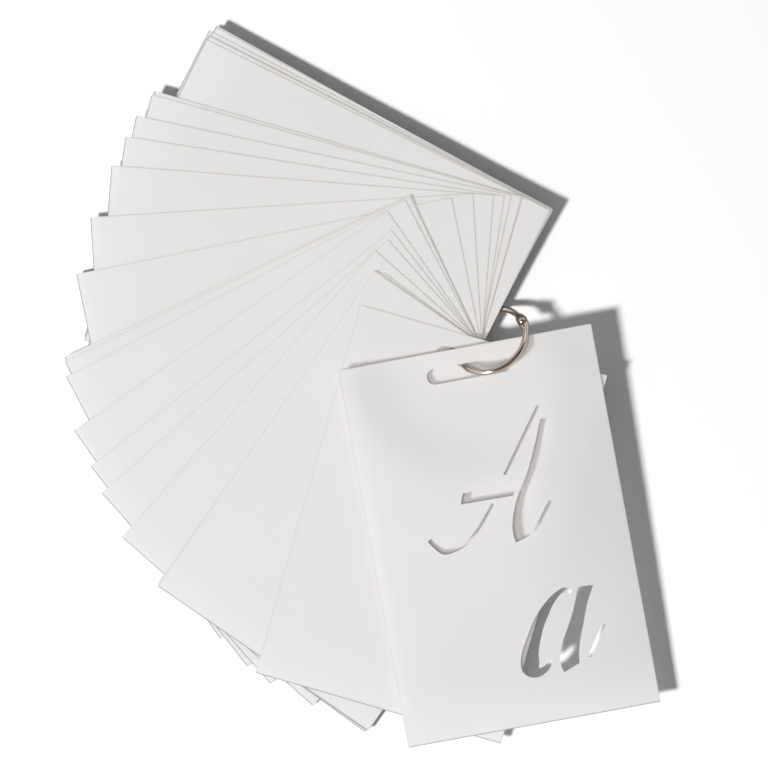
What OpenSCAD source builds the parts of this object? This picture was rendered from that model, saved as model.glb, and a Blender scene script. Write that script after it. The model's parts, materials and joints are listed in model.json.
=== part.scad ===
// Lettering stencil set. Twenty-six thin plastic cards, each with one capital and one
// small letter cut through it, hang by a slot on a hinged book ring and lie fanned out.
// Millimetres. Seen from above, +X is to the right of the picture and +Y is up it.
// The cards lie in parallel planes, square to one axis that leans a little from upright,
// because the ring props the pile up at one end and far corners reach the table.

/* [Cards] */
// Width of a card
card_w = 100; // [80:1:120]
// Length of a card
card_l = 150; // [130:1:180]
// Thickness of the sheet
sheet_t = 0.17; // [0.15:0.01:0.2]
// Air between one sheet and the next
sheet_gap = 0.09; // [0.08:0.01:0.1]
// Extra air under the top card, which stands proud of the pile
top_lift = 2.6; // [2.2:0.1:2.7]
// Radius of a card's corners
corner_r = 0.5; // [0.4:0.1:4]

/* [Slot] */
// Length of the slot over its round ends
slot_len = 33; // [31:0.5:40]
// Width of the slot
slot_w = 6; // [5.9:0.1:7]
// From the card's top edge to the middle of the slot
slot_in = 9.3; // [9:0.1:9.4]

/* [Ring] */
// Inner diameter of the closed ring
ring_id = 26.5; // [26:0.1:27.5]
// Diameter of the ring wire
wire_d = 2.4; // [2:0.1:2.5]
// Tilt of the ring's plane from the cards
ring_tilt = 39.5; // [38:0.5:41]
// Direction of the ring's lowest point
ring_low_az = 123.3; // [122:0.1:125]
// Where the lowest card crosses the wire, turned round the ring from its lowest point
low_card_angle = 50; // [49.5:0.5:51]

/* [Ring hinge] */
// Where the hinge is, turned round the ring from its lowest point
hinge_angle = -94; // [-96:0.5:-92]
// Diameter of the forked knuckle
knuckle_d = 4.2; // [3.6:0.1:4.4]
// Thickness of the forked knuckle
knuckle_t = 3; // [2.6:0.1:3.2]
// Diameter of the tongue in the fork
tongue_d = 3.8; // [3.2:0.1:4]
// Thickness of the tongue
tongue_t = 1; // [0.8:0.1:1.2]
// Air on each side of the tongue
tongue_side_gap = 0.08; // [0.04:0.01:0.15]
// Diameter of the rivet's shank
rivet_d = 1.3; // [1:0.1:1.6]
// Radial clearance of the rivet in the tongue
rivet_clear = 0.05; // [0.02:0.01:0.1]
// Diameter of a rivet head
rivet_head_d = 2.8; // [2:0.1:3.4]
// Height of a rivet head
rivet_head_h = 0.7; // [0.4:0.1:0.9]
// Air round the fork's cheeks
knuckle_gap = 0.15; // [0.1:0.01:0.3]
// Length of the flare from the wire to the knuckle
flare_len = 4.8; // [4.6:0.1:5.4]
// Diameter of the flare's tip, which sinks into the wire
flare_tip_d = 2; // [1.6:0.1:2.2]
// Diameter of the collar beside the hinge
collar_d = 3.6; // [3:0.1:4]
// Thickness of the collar
collar_t = 0.8; // [0.6:0.1:1]

/* [Ring latch] */
// Length of the lapped teeth that close the ring
lap_len = 1.8; // [1.2:0.1:2.4]
// Air between the lapped teeth
lap_gap = 0.06; // [0.04:0.01:0.12]

/* [Letters] */
// Height of a capital
capital_h = 46; // [44:0.5:47]
// From a card's top edge to the foot of its capital
capital_foot = 78; // [76:1:80]
// From a card's top edge to the foot of its small letter
small_foot = 131.6; // [129:0.1:134]
// How far the letters stand right of the middle of their card
letters_right = 1.8; // [0:0.1:3]
// Slant of the letters
slant = 20.8; // [10:0.1:24]
// Width of a full stroke of a capital
full = 6; // [5:0.1:6.5]
// Width of a middling stroke of a capital
mid = 3.4; // [2.5:0.1:4]
// Width of a hairline of a capital
hair = 1.4; // [1:0.1:1.8]
// Stroke width of the small letters as a share of the capitals'
small_weight = 0.9; // [0.8:0.05:1]

/* [Rest] */
// How far the card planes lean from level
lean = 2.9; // [0:0.1:6]
// Direction in which the card planes fall
lean_az = 226.1; // [180:0.1:270]

/* [Hidden] */
$fn = 48;
// Steps in each span of a letter's curve
curve_steps = 4;
// Cuts run this far past the sheet on either side
past = 1;

// How each card lies, from A on top to Z underneath: its turn from upright, where the
// wire stands along its slot, and where the wire stands across it, towards the foot.
fan = [
  [10.5, -0.5, -1.1], [-16, -6.5, 1.3], [-34.5, -2.5, 0.8], [-35, -3.5, 0.8], [-36, -6, 0.8],
  [-41.5, 2.5, 0.8], [-48.5, 3, 0.8], [-52, 5, 0.8], [-55, 12.5, 0.8], [-62.5, 13.5, 0.8],
  [-64.5, 14, 0.8], [-65, 14, 0.8], [-78.5, 10, 0.8], [-86.5, 11.5, 0.8], [-94.5, 12, 0.4],
  [-99, 12.5, -0.2], [-102, 13.5, -0.8], [-105.5, 14, -0.6], [-106, 14, -0.6],
  [-116.5, 14, -0.4], [-117, 14, -0.4], [-117, 14, -0.3], [-117.5, 14, -0.2],
  [-118.5, 13.5, -0.9], [-119, 12.5, -1.4], [-117.5, 13, -1.3]
];
last = len(fan) - 1;

ring_r = (ring_id + wire_d) / 2;
pitch = sheet_t + sheet_gap;
tilt_reach = ring_r * sin(ring_tilt);
latch_angle = hinge_angle + 180;

// Height of a card's middle plane over the ring's centre, square to the cards
function level(k) =
  -tilt_reach * cos(low_card_angle) + (last - k) * pitch + (k == 0 ? top_lift : 0);

// The angle round the ring at which its wire goes up through a card
function wire_angle(k) = acos(-level(k) / tilt_reach);

// A point of the ring's centreline, seen from its centre
function ring_point(angle) =
  let (out = ring_r * cos(angle) * cos(ring_tilt), side = ring_r * sin(angle))
  [out * cos(ring_low_az) - side * sin(ring_low_az),
   out * sin(ring_low_az) + side * cos(ring_low_az),
   -tilt_reach * cos(angle)];

// A point of a card, given from the middle of its slot, in the ring's frame
function card_point(k, x, y, z) =
  let (p = ring_point(wire_angle(k)), dx = x - fan[k][1], dy = y + fan[k][2])
  [p.x + dx * cos(fan[k][0]) - dy * sin(fan[k][0]),
   p.y + dx * sin(fan[k][0]) + dy * cos(fan[k][0]),
   level(k) + z];

// Leans a point with the pile
lean_axis = [-sin(lean_az), cos(lean_az), 0];
function leaned(p) =
  p * cos(lean) + cross(lean_axis, p) * sin(lean) + lean_axis * (lean_axis * p) * (1 - cos(lean));

// Centres of the cards' rounded corners, on their lower faces, after leaning
corner_x = card_w / 2 - corner_r;
corner_top = slot_in - corner_r;
corner_foot = slot_in - card_l + corner_r;
corners = [
  for (k = [0:last], x = [-corner_x, corner_x], y = [corner_foot, corner_top])
    leaned(card_point(k, x, y, -sheet_t / 2))
];
xs = [for (p = corners) p.x];
ys = [for (p = corners) p.y];
zs = [for (p = corners) p.z];
ring_axis = leaned(
  [sin(ring_tilt) * cos(ring_low_az), sin(ring_tilt) * sin(ring_low_az), cos(ring_tilt)]);
ring_foot = -ring_r * norm([ring_axis.x, ring_axis.y]) - wire_d / 2;
cards_foot = min(zs) - corner_r * sin(lean);
rest = [-(min(xs) + max(xs)) / 2, -(min(ys) + max(ys)) / 2, -min(ring_foot, cards_foot)];

// Capitals, one line of strokes or more for each letter. A stroke is a list of points
// [right, up, width] on its centreline, from the middle of the card and the foot of the
// letter, before slanting, on a grid on which a capital is 46 high. Strokes stay apart,
// which leaves the bridges of a stencil.
grid_h = 46;
function sized(stroke) = [for (p = stroke) [p.x * capital_h / grid_h, p.y * capital_h / grid_h, p.z]];
function moved(strokes, by) = [for (s = strokes) [for (p = s) [p.x + by, p.y, p.z]]];
stem_left = [[8, 0, full], [8, 46, full]];
round_left = [[18, 46, hair], [9, 39, mid], [5, 23, full], [9, 7, mid], [18, 0, hair]];
round_right = [[22, 46, hair], [31, 39, mid], [35, 23, full], [31, 7, mid], [22, 0, hair]];
bowl_high = [[13.5, 45, hair], [24, 44, mid], [28.5, 35, full], [23, 27, mid], [13.5, 25, hair]];
arm_top = [[13.5, 44.6, 0.8 * mid], [30, 44.6, 0.8 * mid]];
arm_mid = [[13.5, 24, 0.7 * mid], [25, 24, 0.7 * mid]];
arm_foot = [[13.5, 1.4, 0.8 * mid], [31, 1.4, 0.8 * mid]];
letter_c = [[30, 38, 0.7 * mid], [25, 45, hair], [15, 43, mid], [7, 30, full],
            [7, 16, full], [14, 3, mid], [24, 0.5, hair]];
capitals = [
  // A
  [[[3.1, 50.4, hair], [-0.8, 39.4, hair], [-5.4, 26.4, hair]],
   [[7, 45.1, 0.65 * full], [5.7, 27.4, 0.57 * full], [4.4, 16.1, full],
    [4.9, 7.1, 1.15 * full], [6.8, 0.4, 0.9 * full]],
   [[-21.2, 20.1, 1.2 * mid], [-0.3, 19.8, 1.2 * mid]],
   [[-8.1, 16, hair], [-12.4, 6.8, hair], [-16.7, 2.4, 1.3 * hair], [-23.5, 0.8, 1.4 * hair],
    [-28.1, 3.6, 1.2 * hair], [-31.4, 6.5, hair]],
   [[15.3, 13.2, hair], [11.3, 3, hair]]],
  // B
  moved([stem_left, bowl_high,
   [[13.5, 21.8, hair], [25, 21, mid], [31, 11.5, full], [24.5, 2, mid], [13.5, 0.5, hair]]], -27),
  // C
  moved([concat(letter_c, [[31, 7, 0.6 * mid]])], -27),
  // D
  moved([stem_left, [[13.5, 45, hair], [25, 43, mid], [33, 30, full], [33, 16, full],
   [25, 3, mid], [13.5, 0.5, hair]]], -28),
  // E
  moved([stem_left, arm_top, arm_mid, arm_foot], -27),
  // F
  moved([stem_left, arm_top, arm_mid], -27),
  // G
  moved([letter_c, [[31.5, 2, 0.9 * full], [31.5, 19, 0.9 * full]]], -27),
  // H
  moved([stem_left, [[31, 0, full], [31, 46, full]],
   [[13.5, 24, 0.7 * mid], [25.5, 24, 0.7 * mid]]], -28),
  // I
  moved([stem_left], -17),
  // J
  moved([[[24, 46, full], [24, 12, full], [19, 3, mid], [10, 0.5, hair], [4, 7, 0.7 * mid]]], -24),
  // K
  moved([stem_left, [[14, 25, hair], [31, 45, 0.7 * mid]],
   [[16, 20, mid], [24, 11, full], [33, 0, full]]], -28),
  // L
  moved([stem_left, arm_foot], -27),
  // M
  moved([[[3, 0, hair], [7, 43, hair]], [[12, 45, 0.9 * full], [19.5, 11, 0.9 * full]],
   [[24, 8, hair], [33, 43, hair]], [[38.5, 46, full], [40, 0, full]]], -30),
  // N
  moved([[[5, 0, hair], [6, 42, hair]], [[11, 45, full], [29, 2, full]],
   [[34.5, 5, hair], [34.5, 46, hair]]], -28),
  // O
  moved([round_left, round_right], -28),
  // P
  moved([stem_left, bowl_high], -26),
  // Q
  moved([round_left, round_right, [[19, -4, hair], [27, -5.5, mid], [38, -6, 0.7 * mid]]], -28),
  // R
  moved([stem_left, bowl_high, [[19, 20.5, mid], [26, 10, full], [33, 0, full]]], -27),
  // S
  moved([[[28, 38, 0.7 * mid], [22, 45, hair], [13, 42, mid], [11, 32, mid], [20, 23, full],
   [27.5, 13, full], [25, 4, mid], [16, 0.5, hair], [7, 7, 0.7 * mid]]], -26),
  // T
  moved([[[3, 44.6, 0.8 * mid], [34, 44.6, 0.8 * mid]], [[18.5, 40, full], [18.5, 0, full]]], -27),
  // U
  moved([[[8, 46, full], [8, 15, full], [13, 3.5, mid], [22, 1, hair]],
   [[30.5, 46, 0.8 * full], [30.5, 0, 0.8 * full]]], -28),
  // V
  moved([[[7, 46, full], [17, 2, full]], [[22.5, 4, hair], [33, 46, hair]]], -28),
  // W
  moved([[[2, 46, 0.85 * full], [9, 3, 0.85 * full]], [[13.5, 5, hair], [19.5, 42, hair]],
   [[24, 45, 0.85 * full], [31, 3, 0.85 * full]], [[35.5, 5, hair], [42, 46, hair]]], -30),
  // X
  moved([[[6, 46, full], [31, 0, full]], [[31, 46, hair], [23, 31, hair]],
   [[14, 15, hair], [5, 0, hair]]], -27),
  // Y
  moved([[[6, 46, full], [16, 27, full]], [[32, 46, hair], [22.5, 28, hair]],
   [[18.5, 20, full], [18.5, 0, full]]], -27),
  // Z
  moved([[[6, 44.6, 0.8 * mid], [31, 44.6, 0.8 * mid]], [[28, 38, full], [10, 8, full]], arm_foot], -27)
];

// Small letters, written the same way. Their widths are scaled by small_weight.
stem_small = [[7, 30, full], [7, 0, full]];
stem_tall = [[7, 42, full], [7, 0, full]];
stem_right = [[23, 30, full], [23, 0, full]];
arch = [[12, 21, hair], [17.5, 28.5, mid], [23, 22, full], [23, 0, full]];
bowl_small = [[12, 26, hair], [18.5, 28.5, mid], [24.5, 20, full], [24, 9, full], [18, 1.5, mid],
  [12, 1.5, hair]];
bowl_back = [[17.8, 26, hair], [11.5, 28.5, mid], [6, 19, full], [6.5, 9, full], [11.5, 1.5, mid],
  [17.8, 4, hair]];
tail = [[23, 30, full], [23, -3, full], [17, -10.5, mid], [8, -9, 0.7 * mid]];
dot = [[8.5, 36, full], [11.5, 41, full]];
smalls = [
  // a
  [[[10.2, 30.2, hair], [8, 31.5, 1.2 * hair], [5.4, 31, 0.7 * mid], [2.4, 27.8, 1.1 * mid],
    [0.2, 23.2, 0.9 * full], [-1.2, 18.2, full], [-2, 9.4, 1.25 * full], [-0.6, 4.5, 1.25 * full],
    [2.1, 1.6, 1.2 * mid], [5.2, 2.2, mid], [7.6, 5.2, hair]],
   [[15.5, 31.6, 1.2 * full], [15.1, 25, 0.95 * full], [14.7, 18, 1.1 * full], [14, 10.4, 1.35 * full],
    [14.5, 5.4, 1.35 * full], [16.2, 1.1, 1.15 * full]],
   [[26, 15.5, 1.3 * hair], [22.6, 4, 1.3 * hair]]],
  // b
  moved([stem_tall, bowl_small], -5),
  // c
  moved([[[22, 23, 0.7 * mid], [18, 29, hair], [11, 27.5, mid], [6, 18, full], [7.5, 7, full],
   [14, 1, mid], [22, 5, 0.6 * mid]]], -4),
  // d
  moved([bowl_back, [[23, 42, full], [23, 0, full]]], -5),
  // e
  moved([[[11, 27.5, mid], [6, 18, full], [7, 7, full], [14, 1, mid], [22, 6, 0.6 * mid]],
   [[15, 29, hair], [21.5, 24.5, mid], [19.5, 18, mid], [12, 14, hair]]], -4),
  // f
  moved([[[22, 38, 0.7 * mid], [17.5, 42, hair], [13, 38, mid], [11, 27, full], [11, 0, full]],
   [[16.5, 27, 0.7 * mid], [23, 27, 0.7 * mid]], [[0.5, 27, 0.7 * mid], [5.5, 27, 0.7 * mid]]], -4),
  // g
  moved([bowl_back, tail], -5),
  // h
  moved([stem_tall, arch], -5),
  // i
  moved([[[10, 30, full], [10, 0, full]], dot], 0),
  // j
  moved([[[10, 30, full], [10, -3, full], [5, -10.5, mid], [-2, -9, 0.7 * mid]], dot], 2),
  // k
  moved([stem_tall, [[12.5, 15.5, hair], [23, 29, 0.7 * mid]],
   [[14, 10.5, mid], [19, 5, full], [24, 0, full]]], -5),
  // l
  moved([[[9, 42, full], [9, 7, full], [13, 1, mid], [19, 4.5, hair]]], -2),
  // m
  moved([[[4, 30, 0.9 * full], [4, 0, 0.9 * full]],
   [[8.5, 22, hair], [12.5, 28.5, mid], [16.5, 22, 0.9 * full], [16.5, 0, 0.9 * full]],
   [[21, 22, hair], [25, 28.5, mid], [29, 22, 0.9 * full], [29, 0, 0.9 * full]]], -7),
  // n
  moved([stem_small, arch], -5),
  // o
  moved([[[14, 29.5, hair], [7.5, 25, mid], [5, 15, full], [7.5, 5, mid], [14, 0.5, hair]],
   [[18, 29.5, hair], [24.5, 25, mid], [27, 15, full], [24.5, 5, mid], [18, 0.5, hair]]], -5),
  // p
  moved([[[7, 30, full], [7, -11, full]], bowl_small], -4),
  // q
  moved([bowl_back, [[23, 30, full], [23, -11, full]]], -5),
  // r
  moved([stem_small, [[12, 20, hair], [16, 27, mid], [21.5, 26, mid]]], -4),
  // s
  moved([[[19.5, 24, 0.6 * mid], [14.5, 29, hair], [9, 26, mid], [9.5, 20, mid], [14.5, 14.5, full],
   [19, 8, mid], [16, 2, mid], [10.5, 0.5, hair], [5, 4.5, 0.6 * mid]]], -4),
  // t
  moved([[[11, 38, mid], [11, 24, full], [11, 7, full], [15, 1, mid], [20.5, 4, hair]],
   [[16.5, 28.5, 0.7 * mid], [22.5, 28.5, 0.7 * mid]],
   [[0.5, 28.5, 0.7 * mid], [5.5, 28.5, 0.7 * mid]]], -4),
  // u
  moved([[[7, 30, full], [7, 9, full], [11, 2, mid], [17.5, 3.5, hair]], stem_right], -5),
  // v
  moved([[[6, 30, full], [12.5, 2, full]], [[17, 3.5, hair], [24, 30, hair]]], -5),
  // w
  moved([[[3, 30, 0.8 * full], [8, 3, 0.8 * full]], [[12, 5, hair], [16, 28, hair]],
   [[20.5, 29, 0.8 * full], [25.5, 3, 0.8 * full]], [[29.5, 5, hair], [34, 30, hair]]], -8),
  // x
  moved([[[6, 30, full], [22, 0, full]], [[23, 30, hair], [18, 22.5, hair]],
   [[10, 8.5, hair], [4, 0, hair]]], -4),
  // y
  moved([[[7, 30, full], [7, 12, full], [11, 5, mid], [17.5, 6, hair]], tail], -5),
  // z
  moved([[[6, 28.5, 0.7 * mid], [23, 28.5, 0.7 * mid]], [[19.5, 22.5, full], [9, 7.5, full]],
   [[5, 1.2, 0.7 * mid], [23, 1.2, 0.7 * mid]]], -4)
];

// Points of a smooth curve through the given points
function span(a, b, c, d, t) =
  0.5 * (2 * b + (c - a) * t + (2 * a - 5 * b + 4 * c - d) * t * t + (3 * b - a - 3 * c + d) * t * t * t);
function curve(p) = let (n = len(p) - 1)
  n == 1 ? p : concat(
    [for (i = [0:n - 1], s = [0:curve_steps - 1])
      span(p[max(i - 1, 0)], p[i], p[i + 1], p[min(i + 2, n)], s / curve_steps)],
    [p[n]]);

// The outline of a stroke: its curve, moved out to each side by half its width
function side_of(c, i) = let (n = len(c) - 1, d = c[min(i + 1, n)] - c[max(i - 1, 0)])
  [-d.y, d.x] / norm([d.x, d.y]);
function outline(c, weight) = let (n = len(c) - 1)
  concat(
    [for (i = [0:n]) [c[i].x, c[i].y] + side_of(c, i) * c[i].z * weight / 2],
    [for (i = [n:-1:0]) [c[i].x, c[i].y] - side_of(c, i) * c[i].z * weight / 2]);
function slanted(points) = [for (p = points) [p.x + p.y * tan(slant), p.y]];

// The openings of a letter, its foot on the line y = 0, cut right through a sheet
module letter(strokes, weight) {
  for (s = strokes)
    translate([0, 0, -past])
      linear_extrude(sheet_t + 2 * past)
        polygon(slanted(outline(curve(sized(s)), weight)));
}

// A card, with the middle of its slot at the origin and its foot towards -Y
module card_sheet(k) {
  difference() {
    union() {
      translate([-card_w / 2, corner_foot, 0])
        cube([card_w, card_l - 2 * corner_r, sheet_t]);
      translate([-corner_x, slot_in - card_l, 0])
        cube([2 * corner_x, card_l, sheet_t]);
      for (x = [-corner_x, corner_x], y = [corner_foot, corner_top])
        translate([x, y, 0])
          cylinder(r = corner_r, h = sheet_t);
    }
    slot_cut();
    translate([letters_right, slot_in - capital_foot, 0])
      letter(capitals[k], 1);
    translate([letters_right, slot_in - small_foot, 0])
      letter(smalls[k], small_weight);
  }
}

module slot_cut() {
  straight = slot_len - slot_w;
  translate([-straight / 2, -slot_w / 2, -past])
    cube([straight, slot_w, sheet_t + 2 * past]);
  for (x = [-straight / 2, straight / 2])
    translate([x, 0, -past])
      cylinder(d = slot_w, h = sheet_t + 2 * past);
}

// Puts what is drawn round the ring's centre in its place on the table
module at_rest() {
  translate(rest)
    rotate(a = lean, v = lean_axis)
      children();
}

module on_ring() {
  at_rest()
    rotate([0, ring_tilt, ring_low_az])
      children();
}

// Puts what is drawn round a point of the wire at that angle: x out, y along the wire
module at_wire(angle) {
  rotate([0, 0, angle])
    translate([ring_r, 0, 0])
      children();
}

module card(k) {
  color([0.93, 0.94, 0.94])
    at_rest()
      translate(card_point(k, 0, 0, -sheet_t / 2))
        rotate([0, 0, fan[k][0]])
          card_sheet(k);
}

module wire(from, to) {
  rotate([0, 0, from])
    rotate_extrude(angle = to - from)
      translate([ring_r, 0, 0])
        circle(d = wire_d);
}

// The angle that a length of the wire takes up
function turn_of(length) = length / ring_r * 180 / PI;

// Cuts one side off the wire from an angle on, to leave a lapped tooth
module lap_cut(angle, onwards, up) {
  rotate([0, 0, angle])
    translate([ring_r - wire_d, onwards ? 0 : -2 * lap_len, up ? -lap_gap / 2 : lap_gap / 2 - wire_d])
      cube([2 * wire_d, 2 * lap_len, wire_d]);
}

lap_end = latch_angle + turn_of(lap_len);
collar_mid = turn_of(knuckle_d / 2 + knuckle_gap + collar_t / 2);
flare_turn = turn_of(flare_len);

// The half that lies low, with the hinge's tongue and the lower tooth
module ring_half_lower() {
  color([0.78, 0.75, 0.71])
    on_ring() {
      difference() {
        wire(hinge_angle + collar_mid, lap_end);
        lap_cut(latch_angle, true, true);
      }
      at_wire(hinge_angle + collar_mid)
        rotate([90, 0, 0])
          cylinder(d = collar_d, h = collar_t, center = true);
      difference() {
        union() {
          at_wire(hinge_angle)
            cylinder(d = tongue_d, h = tongue_t, center = true);
          rotate([0, 0, hinge_angle])
            rotate_extrude(angle = collar_mid)
              translate([ring_r - wire_d / 2, -tongue_t / 2, 0])
                square([wire_d, tongue_t]);
        }
        at_wire(hinge_angle)
          cylinder(d = rivet_d + 2 * rivet_clear, h = tongue_t + past, center = true);
      }
    }
}

// The half that stands high, with the hinge's fork and the upper tooth
module ring_half_upper() {
  color([0.8, 0.77, 0.73])
    on_ring() {
      difference() {
        wire(hinge_angle + 360 - flare_turn / 2, latch_angle + turn_of(lap_gap));
        lap_cut(lap_end + turn_of(lap_gap), false, false);
      }
      difference() {
        union() {
          at_wire(hinge_angle)
            cylinder(d = knuckle_d, h = knuckle_t, center = true);
          intersection() {
            at_wire(hinge_angle)
              rotate([90, 0, -flare_turn / 2])
                cylinder(d1 = knuckle_d, d2 = flare_tip_d, h = flare_len);
            at_wire(hinge_angle)
              cylinder(r = 2 * flare_len, h = knuckle_t, center = true);
          }
        }
        at_wire(hinge_angle)
          cylinder(d = knuckle_d + 2 * knuckle_gap, h = tongue_t + 2 * tongue_side_gap, center = true);
        at_wire(hinge_angle)
          cylinder(d = rivet_d, h = knuckle_t + past, center = true);
      }
    }
}

// The rivet that the fork turns on, with a domed head on either side
module hinge_rivet() {
  dome_r = (rivet_head_d * rivet_head_d / 4 + rivet_head_h * rivet_head_h) / (2 * rivet_head_h);
  color([0.82, 0.79, 0.75])
    on_ring()
      at_wire(hinge_angle) {
        cylinder(d = rivet_d, h = knuckle_t, center = true);
        for (side = [0, 180])
          rotate([side, 0, 0])
            intersection() {
              translate([0, 0, knuckle_t / 2 + rivet_head_h - dome_r])
                sphere(r = dome_r);
              translate([0, 0, knuckle_t / 2])
                cylinder(d = 2 * rivet_head_d, h = 2 * rivet_head_h);
            }
      }
}

ring_half_lower();
ring_half_upper();
hinge_rivet();
for (k = [0:last])
  card(k);
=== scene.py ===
# %% [markdown]
# A set of lettering stencils, fanned out on a white table and seen from straight above.
# Twenty-six thin plastic cards hang by a slot on a hinged book ring of nickel-plated wire.
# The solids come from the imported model. This script gives them their finishes, models the
# top card again as the springy sheet that it is, and sets the table, light and camera.

# %% Set up
import json
import math

import bpy
from mathutils import Matrix, Vector


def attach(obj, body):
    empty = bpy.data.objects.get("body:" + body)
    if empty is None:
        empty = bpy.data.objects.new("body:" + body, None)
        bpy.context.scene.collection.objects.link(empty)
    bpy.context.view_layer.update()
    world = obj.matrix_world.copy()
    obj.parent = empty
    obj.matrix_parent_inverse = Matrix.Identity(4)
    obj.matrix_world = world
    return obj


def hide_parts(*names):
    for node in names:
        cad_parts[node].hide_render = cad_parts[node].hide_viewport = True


MM = 0.001
RING_NAMES = ("ring_half_lower", "ring_half_upper", "hinge_rivet")
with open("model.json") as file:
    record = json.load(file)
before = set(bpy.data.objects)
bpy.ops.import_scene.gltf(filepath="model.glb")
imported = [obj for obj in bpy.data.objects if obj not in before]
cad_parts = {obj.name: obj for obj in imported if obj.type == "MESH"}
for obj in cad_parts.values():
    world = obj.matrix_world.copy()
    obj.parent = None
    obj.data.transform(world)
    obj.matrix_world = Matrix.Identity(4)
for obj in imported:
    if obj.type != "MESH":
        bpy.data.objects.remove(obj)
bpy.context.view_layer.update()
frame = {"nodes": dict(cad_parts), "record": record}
bpy.ops.object.select_all(action="DESELECT")
nodes = frame["nodes"]
record = frame["record"]
card_names = sorted(name for name in nodes if name.startswith("card_"))
print("nodes", len(nodes), "cards", len(card_names))

# %% [markdown]
# Every card has the same outline, so a pattern that follows its edges has to know where
# the card's middle is and how the card is turned. The ring goes through the slot at the
# head of the card, and that is where the card's joint is. The two long walls of a card
# are its largest upright faces, so their normal points across the card.

# %% Where each card lies
CARD_WIDTH = 100.0
CARD_LENGTH = 150.0
WALL_TILT = 0.1
joint_of = {joint["child"]: joint for joint in record["behaviour"]["joints"]}


def card_place(name):
    """A card's middle, and its directions across, towards its head and up, in metres."""
    mesh = nodes[name].data
    joint = joint_of[name]
    up = Vector(joint["axis"]).normalized()
    if up.z < 0:
        up = -up
    walls = [face for face in mesh.polygons if abs(face.normal.dot(up)) < WALL_TILT]
    across = max(walls, key=lambda face: face.area).normal.copy()
    across = (across - up * across.dot(up)).normalized()
    along = up.cross(across)
    points = [vertex.co for vertex in mesh.vertices]
    middle = Vector((0, 0, 0))
    for axis in (across, along, up):
        reach = [point.dot(axis) for point in points]
        middle += axis * (min(reach) + max(reach)) / 2
    wire = Vector(joint["pos_m"])
    head = along if (wire - middle).dot(along) > 0 else -along
    return middle, head.cross(up), head, up


places = {name: card_place(name) for name in card_names}
across = places["card_a"][1]
print("top card turned", round(math.degrees(math.atan2(across.y, across.x)), 1), "degrees")

# %% [markdown]
# Materials are built from nodes. One function turns the hex colours that a colour picker
# gives into the linear light that a shader works in, and one adds any node.

# %% Helpers for materials
def colour(hex_code):
    """An sRGB hex colour as linear RGBA."""
    parts = [int(hex_code[i:i + 2], 16) / 255 for i in (1, 3, 5)]
    linear = [c / 12.92 if c <= 0.04045 else ((c + 0.055) / 1.055) ** 2.4 for c in parts]
    return (*linear, 1)


def add_node(tree, kind, settings=None, links=None):
    """Adds a node, sets its properties and sockets, and links sources to its sockets."""
    node = tree.nodes.new(kind)
    for key, value in (settings or {}).items():
        if isinstance(key, str) and hasattr(node, key):
            setattr(node, key, value)
        else:
            node.inputs[key].default_value = value
    for key, source in (links or {}).items():
        tree.links.new(source, node.inputs[key])
    return node


def new_material(name, settings):
    """A material with one Principled shader, its sockets set."""
    made = bpy.data.materials.new(name)
    made.use_nodes = True
    shader = made.node_tree.nodes["Principled BSDF"]
    for socket, value in settings.items():
        shader.inputs[socket].default_value = value
    return made, made.node_tree, shader


def dress(piece, material):
    """Gives a piece one material."""
    piece.data.materials.clear()
    piece.data.materials.append(material)


print("white is", colour("#FFFFFF"))

# %% [markdown]
# A pattern is often one colour laid over another by a factor, from 0 to 1. A Mix node has
# sockets for numbers and vectors too, all with the same names, so its two colours and its
# result are found by their places. A line or a margin needs a factor that falls with the
# distance from an edge, which a Map Range node gives.

# %% Helpers for patterns
MIX_FIRST = 6
MIX_SECOND = 7
MIX_RESULT = 2


def mixed(tree, factor, first, second):
    """A node that mixes two colours, each a hex code or another node's output."""
    node = add_node(tree, "ShaderNodeMix", {"data_type": "RGBA"}, {0: factor})
    for socket, source in ((MIX_FIRST, first), (MIX_SECOND, second)):
        if isinstance(source, str):
            node.inputs[socket].default_value = colour(source)
        else:
            tree.links.new(source, node.inputs[socket])
    return node.outputs[MIX_RESULT]


def faded(tree, source, near, far, strength):
    """A factor that is at its full strength up to near and falls to nothing at far."""
    node = add_node(tree, "ShaderNodeMapRange", {
        "From Min": near, "From Max": far, "To Min": strength, "To Max": 0.0,
    }, {"Value": source})
    return node.outputs["Result"]


# %% [markdown]
# The cards are die-cut from frosted polypropylene sheet, about 0.2 mm thick. Its surface
# was embossed with a very fine matt grain, and its milky body lets some light through, so
# a card's shadow on the next card is pale, and a card is a shade darker over a dark gap. A
# Translucent shader, mixed with the surface, passes that share of the light on. A thin line
# along each card's outline is partly its dull cut edge and partly painted shade for the
# narrow shadow that the card casts at its edge. It is faint along the sides and bluish at
# the foot. Towards its foot the card is painted a lighter, cooler tone, a painted light for
# the way the real sheet curves a little there. The real grain is finer than a pixel of the
# picture, so it is drawn two pixels wide.

# %% Frosted polypropylene
PASSED_SHARE = 0.4
# The line along the outline is partly the cut edge and partly painted shade: its core, width and
# strengths.
EDGE_SHADE_CORE = 0.15
EDGE_SHADE_WIDTH = 0.5
SIDE_SHADE_STRENGTH = 0.15
FOOT_SHADE_STRENGTH = 0.6
# Painted light: how far from the foot, and how strongly, the card is painted lighter and cooler.
FOOT_LIGHT_WIDTH = 22.0
FOOT_LIGHT_STRENGTH = 0.85
GRAIN_SIZE = 0.8
GRAIN_DEPTH = 0.1
CLOUD_SIZE = 60.0


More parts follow.
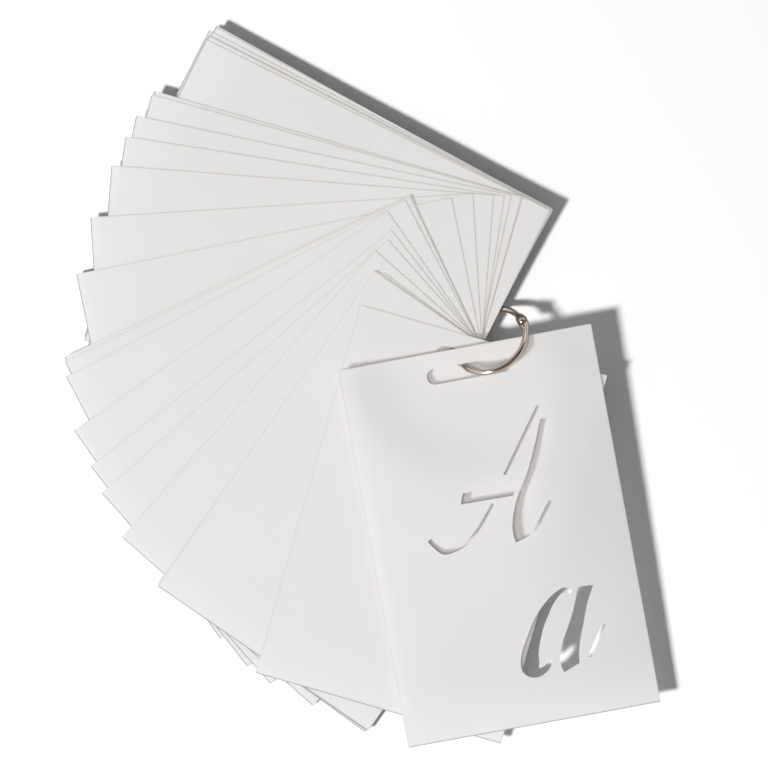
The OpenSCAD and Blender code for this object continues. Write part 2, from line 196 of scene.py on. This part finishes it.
def sheet_material(name):
    """Frosted polypropylene for one card, with painted edge shade and painted light at its foot."""
    middle, right, head, up = places[name]
    made, tree, shader = new_material("frosted_polypropylene_" + name[-1], {
        "Roughness": 0.42,
        "IOR": 1.49,
    })
    spot = add_node(tree, "ShaderNodeTexCoord")
    own = add_node(tree, "ShaderNodeMapping", {
        "vector_type": "TEXTURE",
        "Location": middle,
        "Rotation": Matrix((right, head, up)).transposed().to_euler(),
        "Scale": (MM, MM, MM),
    }, {"Vector": spot.outputs["Object"]})
    parts = add_node(tree, "ShaderNodeSeparateXYZ", {}, {0: own.outputs[0]})
    gaps = []
    for axis, half in (("X", CARD_WIDTH / 2), ("Y", CARD_LENGTH / 2)):
        away = add_node(tree, "ShaderNodeMath", {"operation": "ABSOLUTE"},
                        {0: parts.outputs[axis]})
        gap = add_node(tree, "ShaderNodeMath", {"operation": "SUBTRACT", 0: half},
                       {1: away.outputs[0]})
        gaps.append(gap.outputs[0])
    nearest = add_node(tree, "ShaderNodeMath", {"operation": "MINIMUM"}, {0: gaps[0], 1: gaps[1]})
    foot = add_node(tree, "ShaderNodeMath", {"operation": "ADD", 1: CARD_LENGTH / 2},
                    {0: parts.outputs["Y"]})
    # Painted shade: a dark line along the sides and the foot for the narrow shadow at each card's
    # edge, partly the cut edge.
    side_edge_and_shade = faded(tree, nearest.outputs[0], EDGE_SHADE_CORE, EDGE_SHADE_WIDTH, SIDE_SHADE_STRENGTH)
    foot_edge_and_shade = faded(tree, foot.outputs[0], EDGE_SHADE_CORE, EDGE_SHADE_WIDTH, FOOT_SHADE_STRENGTH)
    # Painted light: a lighter, cooler tone that fades in from the foot, where the real sheet curves
    # a little.
    painted_foot_light = faded(tree, foot.outputs[0], 0.0, FOOT_LIGHT_WIDTH, FOOT_LIGHT_STRENGTH)
    cloud = add_node(tree, "ShaderNodeTexNoise", {"Scale": 1 / CLOUD_SIZE, "Detail": 3.0},
                     {"Vector": own.outputs[0]})
    body = mixed(tree, cloud.outputs["Fac"], "#F5F5F6", "#F9F9FA")
    # The painted foot light is laid over the card's own tone.
    body_with_foot_light = mixed(tree, painted_foot_light, body, "#FCFCFF")
    # The painted edge shade goes on last, greyish along the sides and bluish at the foot.
    edged_and_shaded = mixed(tree, side_edge_and_shade, body_with_foot_light, "#8F8A80")
    tone = mixed(tree, foot_edge_and_shade, edged_and_shaded, "#868B9D")
    tree.links.new(tone, shader.inputs["Base Color"])
    grain = add_node(tree, "ShaderNodeTexNoise", {"Scale": 1 / GRAIN_SIZE, "Detail": 2.0},
                     {"Vector": own.outputs[0]})
    bump = add_node(tree, "ShaderNodeBump", {"Strength": 0.05, "Distance": GRAIN_DEPTH * MM},
                    {"Height": grain.outputs["Fac"]})
    tree.links.new(bump.outputs["Normal"], shader.inputs["Normal"])
    passed = add_node(tree, "ShaderNodeBsdfTranslucent", {}, {"Color": tone})
    both = add_node(tree, "ShaderNodeMixShader", {0: PASSED_SHARE},
                    {1: shader.outputs[0], 2: passed.outputs[0]})
    tree.links.new(both.outputs[0], tree.nodes["Material Output"].inputs["Surface"])
    return made


sheet_materials = {name: sheet_material(name) for name in card_names}
for name in card_names:
    dress(nodes[name], sheet_materials[name])
print("sheet materials", len(sheet_materials))

# %% [markdown]
# The book ring is steel wire with a polished nickel plate. Nickel is a slightly warm,
# greyish metal, so its base colour is a pale beige. Polishing leaves fine scratches and
# a little haze, which a low, uneven roughness gives. The scratches are too fine to show,
# so they are drawn as soft patches a quarter as wide as the wire.

# %% Polished nickel plate
POLISH_SIZE = 0.6
POLISH_DEPTH = 0.02


def nickel_material():
    """Polished nickel plate with uneven haze."""
    made, tree, shader = new_material("nickel_plate", {
        "Base Color": colour("#D0C5BC"),
        "Metallic": 1.0,
        "Roughness": 0.14,
    })
    spot = add_node(tree, "ShaderNodeTexCoord")
    haze = add_node(tree, "ShaderNodeTexNoise", {"Scale": 1 / (POLISH_SIZE * MM), "Detail": 4.0},
                    {"Vector": spot.outputs["Object"]})
    rough = add_node(tree, "ShaderNodeMapRange", {"To Min": 0.08, "To Max": 0.22},
                     {"Value": haze.outputs["Fac"]})
    tree.links.new(rough.outputs["Result"], shader.inputs["Roughness"])
    bump = add_node(tree, "ShaderNodeBump", {"Strength": 0.08, "Distance": POLISH_DEPTH * MM},
                    {"Height": haze.outputs["Fac"]})
    tree.links.new(bump.outputs["Normal"], shader.inputs["Normal"])
    return made


nickel = nickel_material()
for name in RING_NAMES:
    dress(nodes[name], nickel)
print("nickel on", RING_NAMES)

# %% [markdown]
# The solid of the top card is flat. The real one is springy: its head hangs on the ring,
# its left corner curls up, its middle arches and its right side droops. A formula gives
# how far each point of the sheet stands off the flat plane. Near the ring it gives
# nothing, so that the wire still passes through the slot as it turns.

# %% How the top card bends
FLAT_REACH = 22.0
BEND_START = 25.0
CURL_UP = 2.6
CURL_LOSS = 0.85
ARCH_UP = 2.0
DROOP = 1.7


def smooth_step(value):
    """An eased step that rises from 0 to 1 as the value does."""
    value = min(max(value, 0.0), 1.0)
    return value * value * (3 - 2 * value)


def bend_height(x, y, wire_x, wire_y):
    """How far the top card stands off its flat plane, in mm, at a point from its middle."""
    side = x / (CARD_WIDTH / 2)
    down = 0.5 - y / CARD_LENGTH
    lift = ARCH_UP * (1 - side ** 2) * math.sin(math.pi * min(max(down, 0), 1))
    lift += CURL_UP * min(side, 0) ** 2 * (1 - CURL_LOSS * down)
    lift -= DROOP * max(side, 0) ** 2
    away = math.hypot(x - wire_x, y - wire_y)
    return lift * smooth_step((away - FLAT_REACH) / BEND_START)


middle, right, head, up = places["card_a"]
wire = Vector(joint_of["card_a"]["pos_m"]) - middle
wire_x, wire_y = wire.dot(right) / MM, wire.dot(head) / MM
corner = (-CARD_WIDTH / 2, CARD_LENGTH / 2)
print("left corner stands", round(bend_height(*corner, wire_x, wire_y), 2), "mm up")

# %% [markdown]
# A sheet can only bend where it has points. A copy of the flat card is cut in edit mode by
# bisecting it in even steps, across and then along. A grid laid over it would do too, but
# the cuts keep the slot and the letters just as the solid has them.

# %% The top card, cut into a grid
CUT_STEP = 4.0
MERGE_REACH = 0.001


def cut_across(middle, direction, length):
    """Bisects the mesh in edit mode in even steps along a direction."""
    steps = round(length / CUT_STEP)
    for step in range(1, steps):
        place = middle + direction * (step / steps - 0.5) * length * MM
        bpy.ops.mesh.select_all(action="SELECT")
        bpy.ops.mesh.bisect(plane_co=place, plane_no=direction)


top_card = bpy.data.objects.new("bent_top_card", nodes["card_a"].data.copy())
bpy.context.collection.objects.link(top_card)
bpy.context.view_layer.objects.active = top_card
top_card.select_set(True)
bpy.ops.object.mode_set(mode="EDIT")
bpy.ops.mesh.select_all(action="SELECT")
bpy.ops.mesh.remove_doubles(threshold=MERGE_REACH * MM)
cut_across(middle, right, CARD_WIDTH)
cut_across(middle, head, CARD_LENGTH)
bpy.ops.object.mode_set(mode="OBJECT")
print("top card faces", len(top_card.data.polygons))

# %% [markdown]
# Now each point is raised or lowered by the formula. The cuts leave some long, thin faces,
# and shading that is averaged over them would show as streaks, so the formula's own slope
# gives the direction that the front and the back of the sheet are shaded in. The narrow
# walls along the outline and in the letters keep their flat shading.

# %% The top card, bent
NUDGE = 0.1
FACE_TILT = 0.5


def bent_normal(index):
    """The direction in which the bent card faces at one of its points."""
    x, y = flat_places[index]
    here = bend_height(x, y, wire_x, wire_y)
    slope_x = (bend_height(x + NUDGE, y, wire_x, wire_y) - here) / NUDGE
    slope_y = (bend_height(x, y + NUDGE, wire_x, wire_y) - here) / NUDGE
    return (up - right * slope_x - head * slope_y).normalized()


flat_places = []
for vertex in top_card.data.vertices:
    offset = vertex.co - middle
    x, y = offset.dot(right) / MM, offset.dot(head) / MM
    flat_places.append((x, y))
    vertex.co += up * bend_height(x, y, wire_x, wire_y) * MM
face_up = [face.normal.dot(up) for face in top_card.data.polygons]
bpy.ops.object.shade_smooth()
normals = []
for face, facing in zip(top_card.data.polygons, face_up):
    for index in face.vertices:
        if abs(facing) < FACE_TILT:
            normals.append(face.normal.copy())
        else:
            normals.append(bent_normal(index) * math.copysign(1.0, facing))
top_card.data.normals_split_custom_set(normals)
dress(top_card, sheet_materials["card_a"])
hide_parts("card_a")
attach(top_card, "card_a")
bpy.ops.object.select_all(action="DESELECT")
print("normals set", len(normals))

# %% [markdown]
# The table is a plain matt board. Its colour makes the background white where the camera
# or the metal's mirror sees it, and a darker grey throws less light back up under the cards.

# %% Table
TABLE_SIZE = 3
bpy.ops.mesh.primitive_plane_add(size=TABLE_SIZE, location=(0, 0, 0))
table = bpy.context.object
table.name = "table"
board, tree, shader = new_material("matt_white_board", {
    "Roughness": 0.9,
    "Specular IOR Level": 0.0,
})
rays = add_node(tree, "ShaderNodeLightPath")
seen = add_node(tree, "ShaderNodeMath", {"operation": "MAXIMUM"},
                {0: rays.outputs["Is Camera Ray"], 1: rays.outputs["Is Glossy Ray"]})
tree.links.new(mixed(tree, seen.outputs[0], "#A8A8A8", "#FEFEFE"), shader.inputs["Base Color"])
dress(table, board)
bpy.ops.object.select_all(action="DESELECT")
print("table", TABLE_SIZE, "m wide")

# %% [markdown]
# The camera hangs straight over the fan. One pixel of the photograph is a little under
# 0.4 mm on the table, and the ring's middle is where it is in the photograph's frame.

# %% Camera
MM_PER_PIXEL = 0.3925
FRAME_PIXELS = 768
RING_PIXEL = Vector((490.0, 340.66))
CAMERA_HEIGHT = 1500.0
SENSOR = 36.0
ring_middle = Vector(record["mounts"][0]["pos_m"]).to_2d() / MM
half_frame = Vector((FRAME_PIXELS, FRAME_PIXELS)) / 2
shift = (half_frame - RING_PIXEL) * MM_PER_PIXEL
view_middle = ring_middle + Vector((shift.x, -shift.y))
bpy.ops.object.camera_add(location=(view_middle.x * MM, view_middle.y * MM, CAMERA_HEIGHT * MM))
camera = bpy.context.object
camera.rotation_euler = (0, 0, 0)
camera.data.sensor_width = SENSOR
camera.data.lens = SENSOR * CAMERA_HEIGHT / (MM_PER_PIXEL * FRAME_PIXELS)
bpy.context.scene.camera = camera
print("view middle", [round(v, 1) for v in view_middle])

# %% [markdown]
# The studio is a plain glow, a little stronger near the horizon, which fills the shadows.
# What a polished surface mirrors is set apart, by the kind of ray that it sends out: a dark
# room with one bright band of windows low down, and a brown ceiling. So the metal gets its
# contrast, and the light that the matt sheets scatter stays plain.

# %% Studio
SKY_LOW = 0.27
SKY_HIGH = 0.2
world = bpy.data.worlds.new("studio")
world.use_nodes = True
tree = world.node_tree
direction = add_node(tree, "ShaderNodeTexCoord")
height = add_node(tree, "ShaderNodeSeparateXYZ", {}, {0: direction.outputs["Generated"]})


def by_height(stops):
    """Colours of the studio by height, from the horizon at 0 to straight overhead at 1."""
    ramp = add_node(tree, "ShaderNodeValToRGB", {}, {"Fac": height.outputs["Z"]})
    elements = ramp.color_ramp.elements
    elements[0].position, elements[0].color = stops[0]
    elements[1].position, elements[1].color = stops[-1]
    for position, shade in stops[1:-1]:
        elements.new(position).color = shade
    return ramp.outputs["Color"]


plain = by_height([(0.0, (SKY_LOW, SKY_LOW, SKY_LOW, 1)), (1.0, (SKY_HIGH, SKY_HIGH, SKY_HIGH, 1))])
mirrored = by_height([
    (0.0, colour("#5B4C42")), (0.24, colour("#33271F")), (0.3, colour("#FFFAF4")),
    (0.58, colour("#FFFAF4")), (0.64, colour("#2B201A")), (0.85, colour("#4B3E35")),
    (1.0, colour("#8A796C")),
])
path = add_node(tree, "ShaderNodeLightPath")
tree.links.new(mixed(tree, path.outputs["Is Glossy Ray"], plain, mirrored),
               tree.nodes["Background"].inputs["Color"])
bpy.context.scene.world = world
bpy.context.scene.view_settings.view_transform = "Standard"
print("studio glow", SKY_LOW, "at the horizon and", SKY_HIGH, "overhead")

# %% [markdown]
# One lamp stands to the lower left, as high as the shadows in the photograph ask. With the
# studio's glow it lights a level surface to just white. The photograph's shadows are dark
# on the table but pale on the cards, so light linking gives the cards a share of their
# light from above, and the table and the ring all of it from the lamp.

# %% Lamps
KEY_AZIMUTH = 212
KEY_ELEVATION = 46
KEY_SIZE = 0.56
KEY_SHARE = 0.84
TOP_ELEVATION = 80
TOP_SIZE = 1.2
FROM_ABOVE = 0.42
LAMP_DISTANCE = 4


def from_angles(azimuth, elevation):
    """The unit vector that points to an azimuth and an elevation, both in degrees."""
    a, e = math.radians(azimuth), math.radians(elevation)
    return Vector((math.cos(a) * math.cos(e), math.sin(a) * math.cos(e), math.sin(e)))


def lamp(name, azimuth, elevation, size, share, pieces, tint="#FFFEFC"):
    """A square lamp aimed at the middle, for these pieces. A share of 1 lights white to white."""
    away = from_angles(azimuth, elevation)
    bpy.ops.object.light_add(type="AREA", location=away * LAMP_DISTANCE)
    light = bpy.context.object
    light.name = name
    light.rotation_euler = away.to_track_quat("Z", "Y").to_euler()
    light.data.size = size
    light.data.energy = share * math.pi ** 2 * LAMP_DISTANCE ** 2 / away.z
    light.data.color = colour(tint)[:3]
    lit = bpy.data.collections.new(name)
    for piece in pieces:
        lit.objects.link(piece)
    light.light_linking.receiver_collection = lit
    print(name, round(light.data.energy), "W")


card_pieces = [nodes[name] for name in card_names] + [top_card]
ring_pieces = [nodes[name] for name in RING_NAMES]
lamp("key", KEY_AZIMUTH, KEY_ELEVATION, KEY_SIZE, KEY_SHARE, [table, *ring_pieces])
lamp("key_on_cards", KEY_AZIMUTH, KEY_ELEVATION, KEY_SIZE, KEY_SHARE - FROM_ABOVE, card_pieces)
lamp("top_on_cards", KEY_AZIMUTH, TOP_ELEVATION, TOP_SIZE, FROM_ABOVE, card_pieces, tint="#FFFBF5")
